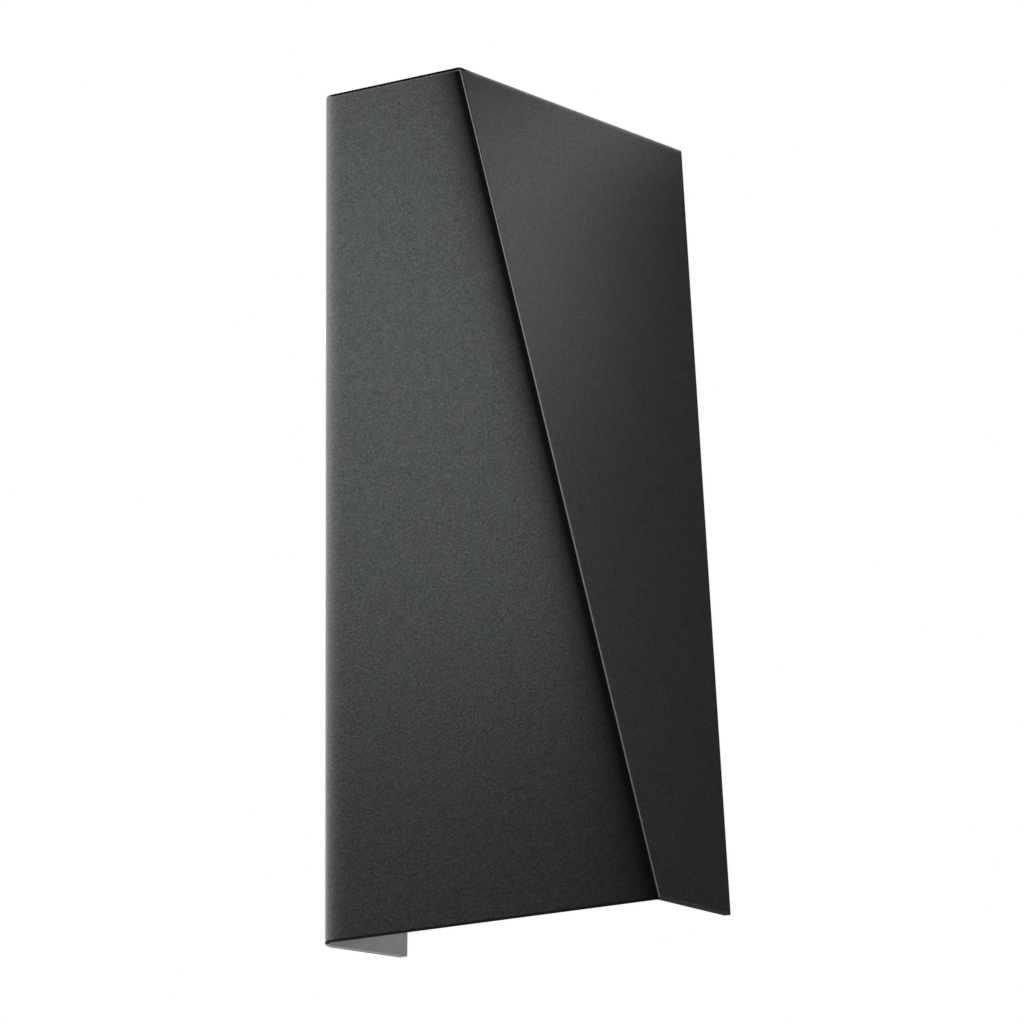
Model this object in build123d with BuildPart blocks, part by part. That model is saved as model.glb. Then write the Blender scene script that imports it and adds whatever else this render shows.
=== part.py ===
from build123d import *
from math import asin, cos, hypot, sin
import os

# Wall light: a folded sheet shade over an up and down light engine on a wall bracket.
# Frame: X to the right, +Y into the wall, Z up. The wall is the plane Y = 0.
# Origin: midway between the two wall screw holes, on the wall. Units are millimetres.

# Folded shade
shade_height = 240.0
shade_width = 90.5  # left bend to the wing's edge on the wall
depth_top = 47.0
depth_bottom = 12.3
wing_run = 1.096  # sideways run of the wing for each unit of its depth
cheek_inset = 14.2  # left bend to the cheek's foot on the wall
sheet = 1.0
bend_radius = 1.8  # outside of both bends
screw_line_inset = 46.0  # left bend to the line of the wall screws
shade_gap = 2.0  # least air between the shade and what it covers

# Wall bracket
bracket_thickness = 1.5
bracket_height = 120.0
bracket_corner = 4.0
wall_screw_hole = 4.5

# Light engine housing
housing_height = 80.0
housing_wall = 2.0
housing_end = 12.0  # solid end that carries the heat away from the board
housing_corner = 3.0

# Lens pocket in each end of the housing
pocket_wall = 4.0
pocket_corner = 1.5
pad_thickness = 0.5
board_thickness = 1.6
chamber_depth = 4.0  # lens seat to the pad's seat
chamber_ledge = 1.5
gasket_thickness = 1.0
gasket_width = 1.2
lens_thickness = 3.0
lens_fit = 0.15
lens_dome = 0.8
bezel_thickness = 1.2
bezel_lip = 1.5  # how far the bezel reaches over the lens
bezel_margin = 0.8  # housing edge to bezel edge

# Light emitting diodes
led_gap = 2.5
led_margin = 2.0  # chamber wall to the nearest diode, at least
led_length = 3.5
led_width = 2.8
led_thickness = 0.7

# Shade tabs and the thumb screws that clamp them
tab_width = 9.0
tab_margin = 0.5
tab_thickness = 1.5
tab_leg = 14.0
tab_bend = 0.8  # inside of the tab's bend
tab_slide_gap = 0.1
tab_end_from_back = 4.5
thumb_diameter = 4.0
thumb_hole_fit = 0.05
thumb_slot_fit = 0.5
thumb_reach = 8.0
thumb_head = 8.4
thumb_head_height = 7.0
thumb_groove = 1.0
thumb_grooves = 16
thumb_edge = 0.6

# Small screws
screw_diameter = 2.5
screw_head = 4.6
screw_reach = 7.0
bezel_screw_reach = 5.0
screw_head_height = 1.4
hex_key = 1.5

# Driver module
driver_depth = 13.0
driver_side_gap = 2.5
driver_height = 46.0
driver_corner = 2.0
driver_edge = 1.0

# Terminal block
terminal_width = 10.0
terminal_depth = 11.0
pole_count = 3
pole_pitch = 8.0
terminal_corner = 0.8
wire_gap = 2.5
wire_hole = 3.0
wire_hole_depth = 3.0
button_side = 4.0
button_height = 4.5
button_proud = 1.6
button_fit = 0.15
button_travel = 1.2
button_end_gap = 0.3
button_edge = 0.4
wire_level = 4.0  # bracket to the wire holes
foot_length = 6.0
foot_thickness = 2.0

# Leads inside the light
lead_diameter = 2.2
lead_fit = 0.1
led_lead_diameter = 1.3
led_lead_inset = 3.0
lead_grommet_wall = 1.0
lead_grommet_flange = 0.8

# Cable entry and earth
cable_hole = 7.0
grommet_wall = 1.5
grommet_flange = 2.0
grommet_flange_thickness = 2.5
grommet_edge = 0.8
earth_reach = 16.0  # foot of the terminal block to the earth screw
earth_screw_diameter = 4.0
earth_head = 7.0
earth_head_height = 2.6
earth_edge = 0.8
earth_slot = 1.0
earth_exit_level = 5.0  # bracket to the earth lead's hole in the terminal block
earth_lead_run = 3.0  # straight run of the earth lead below its lug
earth_lead_bend = 5.0
ring_thickness = 0.8
ring_width = 8.0
barrel_length = 6.0
barrel_wall = 0.4

os.makedirs("parts", exist_ok=True)

# Places worked out from the sizes above
left_x = -screw_line_inset
right_x = left_x + shade_width
top_z = shade_height / 2
bottom_z = -shade_height / 2
wing_slant = hypot(1, wing_run)


def depth_at(z):
    """Depth of the front panel's outer face from the wall at one height."""
    return depth_bottom + (depth_top - depth_bottom) * (z - bottom_z) / shade_height


def wing_inside(depth):
    """Place of the wing's inner face along X at one depth from the wall."""
    return right_x - wing_run * depth - sheet * wing_slant


def cheek_direction(depth):
    """Unit vector from the cheek's foot to the front, tangent to the left bend."""
    to_bend = Vector(bend_radius - cheek_inset, bend_radius - depth)
    turn = asin(bend_radius / to_bend.length)
    across = to_bend.X * cos(turn) + to_bend.Y * sin(turn)
    along = to_bend.Y * cos(turn) - to_bend.X * sin(turn)
    return Vector(across, along).normalized()


def shade_profile(depth, inset, radius):
    """Folded line of the sheet in plan: cheek foot, left bend, crease and wing edge."""
    cheek = cheek_direction(depth)
    foot_x = left_x + cheek_inset - inset / cheek.Y
    front_y = inset - depth
    bend_x = foot_x + cheek.X * front_y / cheek.Y
    edge_x = right_x - inset * wing_slant
    crease_x = edge_x + wing_run * front_y
    corners = [(foot_x, 0), (bend_x, front_y), (crease_x, front_y), (edge_x, 0)]
    return FilletPolyline(*corners, radius=radius)


housing_front = depth_at(-housing_height / 2) - sheet - shade_gap
housing_back = bracket_thickness
terminal_front = bracket_thickness + terminal_depth
terminal_right = wing_inside(terminal_front) - shade_gap
terminal_left = terminal_right - terminal_width
terminal_x = (terminal_left + terminal_right) / 2
cheek_foot_run = -sheet / cheek_direction(depth_bottom).Y
housing_left = left_x + cheek_inset + cheek_foot_run + shade_gap
housing_right = terminal_left - wire_gap
housing_width = housing_right - housing_left
housing_depth = housing_front - housing_back
housing_x = (housing_left + housing_right) / 2
housing_mid = (housing_front + housing_back) / 2
housing_top = housing_height / 2

tab_left = housing_left + tab_margin
tab_x = tab_left + tab_width / 2
bezel_left = tab_left + tab_width + bezel_margin
bezel_right = housing_right - bezel_margin
bezel_width = bezel_right - bezel_left
bezel_depth = housing_depth - 2 * bezel_margin
bezel_x = (bezel_left + bezel_right) / 2
pocket_width = bezel_width - 2 * pocket_wall
pocket_depth = bezel_depth - 2 * pocket_wall
pocket_seat = lens_thickness + gasket_thickness
pocket_floor = pocket_seat + chamber_depth
chamber_width = pocket_width - 2 * chamber_ledge
chamber_length = pocket_depth - 2 * chamber_ledge
lead_offset = chamber_width / 2 - led_lead_inset
led_pitch = led_length + led_gap
led_count = int((chamber_width - 2 * led_margin + led_gap) / led_pitch)

cavity_width = housing_width - 2 * housing_wall
cavity_height = housing_height - 2 * housing_end
driver_width = cavity_width - 2 * driver_side_gap
driver_right = housing_x + driver_width / 2

terminal_height = pole_count * pole_pitch
earth_z = terminal_height / 2 + foot_length + earth_reach
lead_y = -(bracket_thickness + wire_level)
earth_exit_y = -(bracket_thickness + earth_exit_level)
earth_pole_z = pole_pitch
neutral_pole_z = 0.0
live_pole_z = -pole_pitch
earth_lead_y = -(bracket_thickness + ring_thickness + lead_diameter / 2)
fixing_x = housing_width / 2 - pocket_wall
fixing_z = housing_top - housing_end + (housing_end - pocket_floor) / 2
bracket_left = housing_left
bracket_right = terminal_right
bracket_width = bracket_right - bracket_left
bracket_x = (bracket_left + bracket_right) / 2
lead_grommet_diameter = lead_diameter + 2 * (lead_fit + lead_grommet_wall)
grommet_diameter = cable_hole + 2 * grommet_wall
end_middle = (housing_height + bracket_height) / 4  # middle of the bracket's free end
wall_screw_spacing = 2 * end_middle
cable_x = terminal_left
cable_z = -end_middle


# Folded shade: front panel, creased wing and left cheek in one sheet
with BuildPart() as folded_shade:
    for z in (bottom_z, top_z):
        with BuildSketch(Plane.XY.offset(z)):
            with BuildLine():
                outside = shade_profile(depth_at(z), 0, bend_radius)
                inside = shade_profile(depth_at(z), sheet, bend_radius - sheet)
                Line(outside @ 0, inside @ 0)
                Line(outside @ 1, inside @ 1)
            make_face()
    loft(ruled=True)

folded_shade.part.label = "folded_shade"
export_step(folded_shade.part, "parts/folded_shade.step")


def front_inside(z):
    """Place of the front panel's inner face along Y at one height."""
    return sheet - depth_at(z)


def shade_tab(side):
    """Bent tab inside the front panel; side is +1 above the housing and -1 below it."""
    seat = side * (housing_top + tab_slide_gap)
    over = seat + side * tab_thickness
    tip = seat + side * tab_leg
    tongue_end = -(housing_back + tab_end_from_back)
    slot = thumb_diameter + 2 * thumb_slot_fit
    with BuildPart() as tab:
        with BuildSketch(Plane.YZ.offset(tab_left)):
            with BuildLine():
                Polyline(
                    (front_inside(seat), seat),
                    (front_inside(tip), tip),
                    (front_inside(tip) + tab_thickness, tip),
                    (front_inside(over) + tab_thickness, over),
                    (tongue_end, over),
                    (tongue_end, seat),
                    close=True,
                )
            make_face()
        extrude(amount=tab_width)
        bend = tab.edges().filter_by(Axis.X).sort_by_distance((tab_x, front_inside(seat), seat))
        inner = tab.edges().filter_by(Axis.X).sort_by_distance(
            (tab_x, front_inside(over) + tab_thickness, over)
        )
        fillet(inner[0], radius=tab_bend)
        fillet(bend[0], radius=tab_bend + tab_thickness)
        with BuildSketch(Plane.XY.offset(min(seat, over))):
            with Locations((tab_x, -housing_mid)):
                Circle(slot / 2)
            with Locations((tab_x, (tongue_end - housing_mid) / 2)):
                Rectangle(slot, housing_mid + tongue_end)
        extrude(amount=tab_thickness, mode=Mode.SUBTRACT)
    return tab.part


for name, side in (("upper_shade_tab", 1), ("lower_shade_tab", -1)):
    tab_part = shade_tab(side)
    tab_part.label = name
    export_step(tab_part, f"parts/{name}.step")


# Flat steel bracket that is screwed to the wall
with BuildPart() as wall_bracket:
    with BuildSketch(Plane.XZ):
        with Locations((bracket_x, 0)):
            RectangleRounded(bracket_width, bracket_height, bracket_corner)
        with GridLocations(0, wall_screw_spacing, 1, 2):
            Circle(wall_screw_hole / 2, mode=Mode.SUBTRACT)
        with Locations((cable_x, cable_z)):
            Circle(grommet_diameter / 2, mode=Mode.SUBTRACT)
        with Locations((terminal_x, earth_z)):
            Circle(earth_screw_diameter / 2, mode=Mode.SUBTRACT)
        with Locations((terminal_x, 0)):
            with GridLocations(0, terminal_height + foot_length, 1, 2):
                Circle(screw_diameter / 2, mode=Mode.SUBTRACT)
    extrude(amount=bracket_thickness)
    with Locations(Plane.XZ.rotated((180, 0, 0))):
        with Locations((housing_x, 0)):
            with GridLocations(2 * fixing_x, 2 * fixing_z, 2, 2):
                CounterSinkHole(screw_diameter / 2, screw_head / 2, bracket_thickness, 90)

wall_bracket.part.label = "wall_bracket"
export_step(wall_bracket.part, "parts/wall_bracket.step")


def end_block(side, level):
    """Plane across one end of the housing; level is measured outwards from the middle."""
    return Plane.XY.offset(side * level)


# Light engine housing: open at the back, with a lens pocket in each solid end
seat_level = housing_top - pocket_seat
floor_level = housing_top - pocket_floor

with BuildPart() as light_engine_housing:
    with BuildSketch(Plane.XY.offset(-housing_top)):
        with Locations((housing_x, -housing_mid)):
            Rectangle(housing_width, housing_depth)
    extrude(amount=housing_height)
    fillet(light_engine_housing.edges().filter_by(Axis.Z).group_by(Axis.Y)[0], radius=housing_corner)
    with BuildSketch(Plane.XZ.offset(housing_back)):
        with Locations((housing_x, 0)):
            Rectangle(cavity_width, cavity_height)
    extrude(amount=housing_depth - housing_wall, mode=Mode.SUBTRACT)
    for side in (1, -1):
        with BuildSketch(end_block(side, housing_top)):
            with Locations((bezel_x, -housing_mid)):
                RectangleRounded(pocket_width, pocket_depth, pocket_corner)
        extrude(amount=-side * pocket_seat, mode=Mode.SUBTRACT)
        with BuildSketch(end_block(side, seat_level)):
            with Locations((bezel_x, -housing_mid)):
                RectangleRounded(chamber_width, chamber_length, pocket_corner)
        extrude(amount=-side * chamber_depth, mode=Mode.SUBTRACT)
        with BuildSketch(end_block(side, floor_level)):
            with Locations((bezel_x, -housing_mid)):
                with GridLocations(2 * lead_offset, 0, 2, 1):
                    Circle(led_lead_diameter / 2 + lead_fit)
        extrude(amount=-side * (housing_end - pocket_floor), mode=Mode.SUBTRACT)
        with BuildSketch(end_block(side, housing_top)):
            with Locations((bezel_x, -housing_mid)):
                with GridLocations(bezel_width - pocket_wall, 0, 2, 1):
                    Circle(screw_diameter / 2)
        extrude(amount=-side * bezel_screw_reach, mode=Mode.SUBTRACT)
        with BuildSketch(end_block(side, housing_top)):
            with Locations((tab_x, -housing_mid)):
                Circle(thumb_diameter / 2 + thumb_hole_fit)
        extrude(amount=-side * thumb_reach, mode=Mode.SUBTRACT)
    with BuildSketch(Plane.XZ.offset(housing_back)):
        with Locations((housing_x, 0)):
            with GridLocations(2 * fixing_x, 2 * fixing_z, 2, 2):
                Circle(screw_diameter / 2)
    extrude(amount=screw_reach - bracket_thickness, mode=Mode.SUBTRACT)
    with BuildSketch(Plane.YZ.offset(housing_right)):
        with Locations((lead_y, live_pole_z), (lead_y, neutral_pole_z)):
            Circle(lead_grommet_diameter / 2)
    extrude(amount=-housing_wall, mode=Mode.SUBTRACT)

light_engine_housing.part.label = "light_engine_housing"
export_step(light_engine_housing.part, "parts/light_engine_housing.step")


# Driver module, seated on the bracket inside the housing
with BuildPart() as driver_module:
    with BuildSketch(Plane.XZ.offset(bracket_thickness)):
        with Locations((housing_x, 0)):
            RectangleRounded(driver_width, driver_height, driver_corner)
    extrude(amount=driver_depth)
    chamfer(driver_module.faces().sort_by(Axis.Y)[0].edges(), length=driver_edge)

driver_module.part.label = "driver_module"
export_step(driver_module.part, "parts/driver_module.step")


# Countersunk screws that hold the housing to the bracket
with BuildPart() as housing_screws:
    with BuildSketch(Plane.XZ):
        with Locations((housing_x, 0)):
            with GridLocations(2 * fixing_x, 2 * fixing_z, 2, 2):
                Circle(screw_diameter / 2)
    extrude(amount=screw_reach)
    with Locations(Plane.XZ):
        with Locations((housing_x, 0)):
            with GridLocations(2 * fixing_x, 2 * fixing_z, 2, 2):
                Cone(
                    screw_head / 2,
                    screw_diameter / 2,
                    (screw_head - screw_diameter) / 2,
                    align=(Align.CENTER, Align.CENTER, Align.MIN),
                )

housing_screws.part.label = "housing_screws"
export_step(housing_screws.part, "parts/housing_screws.step")


def end_stack(side):
    """Pieces in one lens pocket, from the thermal pad out to the bezel and its screws."""
    board_level = floor_level + pad_thickness
    led_level = board_level + board_thickness
    lens_level = seat_level + gasket_thickness
    fitted_width = chamber_width - 2 * lens_fit
    fitted_length = chamber_length - 2 * lens_fit
    lens_width = pocket_width - 2 * lens_fit
    lens_length = pocket_depth - 2 * lens_fit
    window_width = pocket_width - 2 * bezel_lip
    window_length = pocket_depth - 2 * bezel_lip

    with BuildPart() as thermal_pad:
        with BuildSketch(end_block(side, floor_level)):
            with Locations((bezel_x, -housing_mid)):
                RectangleRounded(fitted_width, fitted_length, pocket_corner)
                with GridLocations(2 * lead_offset, 0, 2, 1):
                    Circle(led_lead_diameter / 2 + lead_fit, mode=Mode.SUBTRACT)
        extrude(amount=side * pad_thickness)

    with BuildPart() as led_board:
        with BuildSketch(end_block(side, board_level)):
            with Locations((bezel_x, -housing_mid)):
                RectangleRounded(fitted_width, fitted_length, pocket_corner)
        extrude(amount=side * board_thickness)

    with BuildPart() as led_chips:
        with BuildSketch(end_block(side, led_level)):
            with Locations((bezel_x, -housing_mid)):
                with GridLocations(led_pitch, 0, led_count, 1):
                    Rectangle(led_length, led_width)
        extrude(amount=side * led_thickness)

    with BuildPart() as led_leads:
        with BuildSketch(end_block(side, driver_height / 2)):
            with Locations((bezel_x, -housing_mid)):
                with GridLocations(2 * lead_offset, 0, 2, 1):
                    Circle(led_lead_diameter / 2)
        extrude(amount=side * (board_level - driver_height / 2))

    with BuildPart() as lens_gasket:
        with BuildSketch(end_block(side, seat_level)):
            with Locations((bezel_x, -housing_mid)):
                RectangleRounded(lens_width, lens_length, pocket_corner)
                Rectangle(
                    lens_width - 2 * gasket_width,
                    lens_length - 2 * gasket_width,
                    mode=Mode.SUBTRACT,
                )
        extrude(amount=side * gasket_thickness)

    with BuildPart() as lens:
        with BuildSketch(end_block(side, lens_level)):
            with Locations((bezel_x, -housing_mid)):
                RectangleRounded(lens_width, lens_length, pocket_corner)
        extrude(amount=side * lens_thickness)
        with BuildSketch(end_block(side, housing_top)):
            with Locations((bezel_x, -housing_mid)):
                Rectangle(window_width - 2 * lens_fit, window_length - 2 * lens_fit)
        extrude(amount=side * bezel_thickness)
        fillet(lens.faces().sort_by(Axis.Z)[-1 if side > 0 else 0].edges(), radius=lens_dome)

    with BuildPart() as lens_bezel:
        with BuildSketch(end_block(side, housing_top)):
            with Locations((bezel_x, -housing_mid)):
                RectangleRounded(bezel_width, bezel_depth, pocket_corner)
                Rectangle(window_width, window_length, mode=Mode.SUBTRACT)
                with GridLocations(bezel_width - pocket_wall, 0, 2, 1):
                    Circle(screw_diameter / 2, mode=Mode.SUBTRACT)
        extrude(amount=side * bezel_thickness)

    with BuildPart() as bezel_screws:
        with BuildSketch(end_block(side, housing_top - bezel_screw_reach)):
            with Locations((bezel_x, -housing_mid)):
                with GridLocations(bezel_width - pocket_wall, 0, 2, 1):
                    Circle(screw_diameter / 2)
        extrude(amount=side * (bezel_screw_reach + bezel_thickness))
        with BuildSketch(end_block(side, housing_top + bezel_thickness)):
            with Locations((bezel_x, -housing_mid)):
                with GridLocations(bezel_width - pocket_wall, 0, 2, 1):
                    Circle(pocket_wall / 2)
                    RegularPolygon(hex_key / 2, 6, major_radius=False, mode=Mode.SUBTRACT)
        extrude(amount=side * screw_head_height)

    return {
        "thermal_pad": thermal_pad.part,
        "led_board": led_board.part,
        "led_chips": led_chips.part,
        "led_leads": led_leads.part,
        "lens_gasket": lens_gasket.part,
        "lens": lens.part,
        "lens_bezel": lens_bezel.part,
        "bezel_screws": bezel_screws.part,
    }


def thumb_screw(side):
    """Grooved thumb screw that clamps one shade tab against the housing."""
    shoulder = housing_top + tab_thickness + 2 * tab_slide_gap
    with BuildPart() as screw:
        with BuildSketch(end_block(side, housing_top - thumb_reach)):
            with Locations((tab_x, -housing_mid)):
                Circle(thumb_diameter / 2)
        extrude(amount=side * (shoulder - housing_top + thumb_reach))
        with BuildSketch(end_block(side, shoulder)):
            with Locations((tab_x, -housing_mid)):
                Circle(thumb_head / 2)
        extrude(amount=side * thumb_head_height)
        rims = screw.edges().filter_by(GeomType.CIRCLE).sort_by(SortBy.RADIUS)[-2:]
        chamfer(rims, length=thumb_edge)
        with BuildSketch(end_block(side, shoulder)):
            with Locations((tab_x, -housing_mid)):
                with PolarLocations(thumb_head / 2, thumb_grooves):
                    RegularPolygon(thumb_groove / 2, 4)
        extrude(amount=side * thumb_head_height, mode=Mode.SUBTRACT)
    return screw.part


for word, side in (("upper", 1), ("lower", -1)):
    pieces = end_stack(side)
    pieces["thumb_screw"] = thumb_screw(side)
    for piece_name, piece in pieces.items():
        piece.label = f"{word}_{piece_name}"
        export_step(piece, f"parts/{word}_{piece_name}.step")


# Terminal block on the bracket, between the housing and the wing
pole_places = {"live": live_pole_z, "neutral": neutral_pole_z, "earth": earth_pole_z}
well_depth = button_height - button_proud + button_travel + button_end_gap

with BuildPart() as terminal_block:
    with BuildSketch(Plane.XZ.offset(bracket_thickness)):
        with Locations((terminal_x, 0)):
            RectangleRounded(terminal_width, terminal_height, terminal_corner)
    extrude(amount=terminal_depth)
    with BuildSketch(Plane.XZ.offset(bracket_thickness)):
        with Locations((terminal_x, 0)):
            RectangleRounded(terminal_width, terminal_height + 2 * foot_length, terminal_corner)
    extrude(amount=foot_thickness)
    with BuildSketch(Plane.XZ.offset(bracket_thickness)):
        with Locations((terminal_x, 0)):
            with GridLocations(0, terminal_height + foot_length, 1, 2):
                Circle(screw_diameter / 2)
    extrude(amount=foot_thickness, mode=Mode.SUBTRACT)
    with BuildSketch(Plane.XZ.offset(terminal_front)):
        with Locations((terminal_x, 0)):
            with GridLocations(0, pole_pitch, 1, pole_count):
                Rectangle(button_side + 2 * button_fit, button_side + 2 * button_fit)
    extrude(amount=-well_depth, mode=Mode.SUBTRACT)
    with BuildSketch(Plane.YZ.offset(terminal_right)):
        with Locations((lead_y, 0)):
            with GridLocations(0, pole_pitch, 1, pole_count):
                Circle(wire_hole / 2)
    extrude(amount=-wire_hole_depth, mode=Mode.SUBTRACT)
    with BuildSketch(Plane.YZ.offset(terminal_left)):
        with Locations((lead_y, live_pole_z), (lead_y, neutral_pole_z)):
            Circle(lead_diameter / 2 + lead_fit)
    extrude(amount=wire_hole_depth, mode=Mode.SUBTRACT)
    with BuildSketch(Plane.XY.offset(terminal_height / 2)):
        with Locations((terminal_x, earth_exit_y)):
            Circle(lead_diameter / 2 + lead_fit)
    extrude(amount=-wire_hole_depth, mode=Mode.SUBTRACT)

terminal_block.part.label = "terminal_block"
export_step(terminal_block.part, "parts/terminal_block.step")

for pole, pole_z in pole_places.items():
    with BuildPart() as release_button:
        with BuildSketch(Plane.XZ.offset(terminal_front + button_proud)):
            with Locations((terminal_x, pole_z)):
                Rectangle(button_side, button_side)
        extrude(amount=-button_height)
        fillet(release_button.faces().sort_by(Axis.Y)[0].edges(), radius=button_edge)
    release_button.part.label = f"{pole}_release_button"
    export_step(release_button.part, f"parts/{pole}_release_button.step")

# Pan head screws through the feet of the terminal block
foot_front = bracket_thickness + foot_thickness
with BuildPart() as terminal_screws:
    with BuildSketch(Plane.XZ):
        with Locations((terminal_x, 0)):
            with GridLocations(0, terminal_height + foot_length, 1, 2):
                Circle(screw_diameter / 2)
    extrude(amount=foot_front)
    with BuildSketch(Plane.XZ.offset(foot_front)):
        with Locations((terminal_x, 0)):
            with GridLocations(0, terminal_height + foot_length, 1, 2):
                Circle(screw_head / 2)
                RegularPolygon(hex_key / 2, 6, major_radius=False, mode=Mode.SUBTRACT)
    extrude(amount=screw_head_height)

terminal_screws.part.label = "terminal_screws"
export_step(terminal_screws.part, "parts/terminal_screws.step")

# Short insulated leads from the driver to the terminal block
for pole in ("live", "neutral"):
    with BuildPart() as lead:
        with BuildSketch(Plane.YZ.offset(driver_right)):
            with Locations((lead_y, pole_places[pole])):
                Circle(lead_diameter / 2)
        extrude(amount=terminal_left + wire_hole_depth - driver_right)
    lead.part.label = f"{pole}_lead"
    export_step(lead.part, f"parts/{pole}_lead.step")

# Bushes that guard those leads where they pass the housing wall
with BuildPart() as lead_grommets:
    with BuildSketch(Plane.YZ.offset(housing_right - housing_wall)):
        with Locations((lead_y, live_pole_z), (lead_y, neutral_pole_z)):
            Circle(lead_grommet_diameter / 2)
            Circle(lead_diameter / 2 + lead_fit, mode=Mode.SUBTRACT)
    extrude(amount=housing_wall)
    with BuildSketch(Plane.YZ.offset(housing_right)):
        with Locations((lead_y, live_pole_z), (lead_y, neutral_pole_z)):
            Circle(lead_grommet_diameter / 2 + lead_grommet_flange)
            Circle(lead_diameter / 2 + lead_fit, mode=Mode.SUBTRACT)
    extrude(amount=lead_grommet_flange)

lead_grommets.part.label = "lead_grommets"
export_step(lead_grommets.part, "parts/lead_grommets.step")

# Bush in the bracket where the mains cable comes out of the wall
with BuildPart() as cable_grommet:
    with BuildSketch(Plane.XZ):
        with Locations((cable_x, cable_z)):
            Circle(grommet_diameter / 2)
            Circle(cable_hole / 2, mode=Mode.SUBTRACT)
    extrude(amount=bracket_thickness)
    with BuildSketch(Plane.XZ.offset(bracket_thickness)):
        with Locations((cable_x, cable_z)):
            Circle(grommet_diameter / 2 + grommet_flange)
            Circle(cable_hole / 2, mode=Mode.SUBTRACT)
    extrude(amount=grommet_flange_thickness)
    chamfer(cable_grommet.edges().sort_by(Axis.Y)[0:2], length=grommet_edge)

cable_grommet.part.label = "cable_grommet"
export_step(cable_grommet.part, "parts/cable_grommet.step")

# Earth lug, its screw and the lead from the earth pole
barrel_outside = lead_diameter / 2 + lead_fit + barrel_wall
barrel_top = earth_z - earth_head / 2 - lead_fit
barrel_bottom = barrel_top - barrel_length

with BuildPart() as earth_lug:
    with BuildSketch(Plane.XZ.offset(bracket_thickness)):
        with Locations((terminal_x, earth_z)):
            Circle(ring_width / 2)
        with Locations((terminal_x, (earth_z + barrel_bottom) / 2)):
            Rectangle(2 * barrel_outside, earth_z - barrel_bottom)
        with Locations((terminal_x, earth_z)):
            Circle(earth_screw_diameter / 2, mode=Mode.SUBTRACT)
    extrude(amount=ring_thickness)
    with BuildSketch(Plane.XY.offset(barrel_bottom)):
        with Locations((terminal_x, earth_lead_y)):
            Circle(barrel_outside)
    extrude(amount=barrel_length)
    with BuildSketch(Plane.XY.offset(barrel_bottom)):
        with Locations((terminal_x, earth_lead_y)):
            Circle(lead_diameter / 2 + lead_fit)
    extrude(amount=barrel_length, mode=Mode.SUBTRACT)

earth_lug.part.label = "earth_lug"
export_step(earth_lug.part, "parts/earth_lug.step")

with BuildPart() as earth_screw:
    with BuildSketch(Plane.XZ):
        with Locations((terminal_x, earth_z)):
            Circle(earth_screw_diameter / 2)
    extrude(amount=bracket_thickness + ring_thickness)
    with BuildSketch(Plane.XZ.offset(bracket_thickness + ring_thickness)):
        with Locations((terminal_x, earth_z)):
            Circle(earth_head / 2)
    extrude(amount=earth_head_height)
    chamfer(earth_screw.edges().sort_by(Axis.Y)[0], length=earth_edge)
    with BuildSketch(Plane.XZ.offset(bracket_thickness + ring_thickness + earth_head_height)):
        with Locations((terminal_x, earth_z)):
            Rectangle(earth_head, earth_slot)
    extrude(amount=-earth_slot, mode=Mode.SUBTRACT)

earth_screw.part.label = "earth_screw"
export_step(earth_screw.part, "parts/earth_screw.step")

with BuildPart() as earth_lead:
    with BuildLine(Plane.YZ.offset(terminal_x)) as route:
        FilletPolyline(
            (earth_exit_y, terminal_height / 2 - wire_hole_depth),
            (earth_exit_y, terminal_height / 2 + foot_length),
            (earth_lead_y, barrel_bottom - earth_lead_run),
            (earth_lead_y, barrel_top),
            radius=earth_lead_bend,
        )
    with BuildSketch(Plane.XY.offset(terminal_height / 2 - wire_hole_depth)):
        with Locations((terminal_x, earth_exit_y)):
            Circle(lead_diameter / 2)
    sweep(path=route.wires()[0])

earth_lead.part.label = "earth_lead"
export_step(earth_lead.part, "parts/earth_lead.step")
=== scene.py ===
"""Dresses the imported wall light: its folded shade, light engine, fittings and a plain studio."""

import logging
import math
from collections.abc import Callable, Sequence
from dataclasses import dataclass, field
from enum import Enum

import bmesh
import bpy
from bmesh.types import BMesh, BMVert
from bpy.types import Material, Object
from mathutils import Matrix, Vector


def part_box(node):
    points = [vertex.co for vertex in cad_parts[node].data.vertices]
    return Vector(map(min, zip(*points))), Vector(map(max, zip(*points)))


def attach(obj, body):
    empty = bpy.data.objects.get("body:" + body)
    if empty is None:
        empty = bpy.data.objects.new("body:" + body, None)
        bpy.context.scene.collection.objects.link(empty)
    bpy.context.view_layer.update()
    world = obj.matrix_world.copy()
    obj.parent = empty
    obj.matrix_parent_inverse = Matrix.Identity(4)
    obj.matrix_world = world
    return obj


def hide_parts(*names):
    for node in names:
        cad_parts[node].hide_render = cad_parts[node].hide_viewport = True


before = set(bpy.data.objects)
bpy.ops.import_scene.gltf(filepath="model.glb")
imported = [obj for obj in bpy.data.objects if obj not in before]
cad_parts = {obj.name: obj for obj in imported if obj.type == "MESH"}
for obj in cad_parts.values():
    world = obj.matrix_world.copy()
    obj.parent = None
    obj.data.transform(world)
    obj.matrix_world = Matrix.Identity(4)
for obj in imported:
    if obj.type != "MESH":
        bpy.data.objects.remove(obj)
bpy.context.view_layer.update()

Pair = tuple[float, float]
RGB = tuple[float, float, float]
Loop = list[Vector]
Values = dict[str, object]
Materials = dict[str, Material]

MM = 0.001
SHARP_ANGLE = math.radians(32)
SIXTH = math.pi / 3
TURNS = [2 * math.pi * k / 48 for k in range(48)]
SMOOTH = {"interpolation_type": "SMOOTHSTEP"}

# Parts of a noise's range over which a finish changes
MIDDLE = (0.3, 0.7)
WIDE = (0.2, 0.8)

log = logging.getLogger("wall_light")


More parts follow.
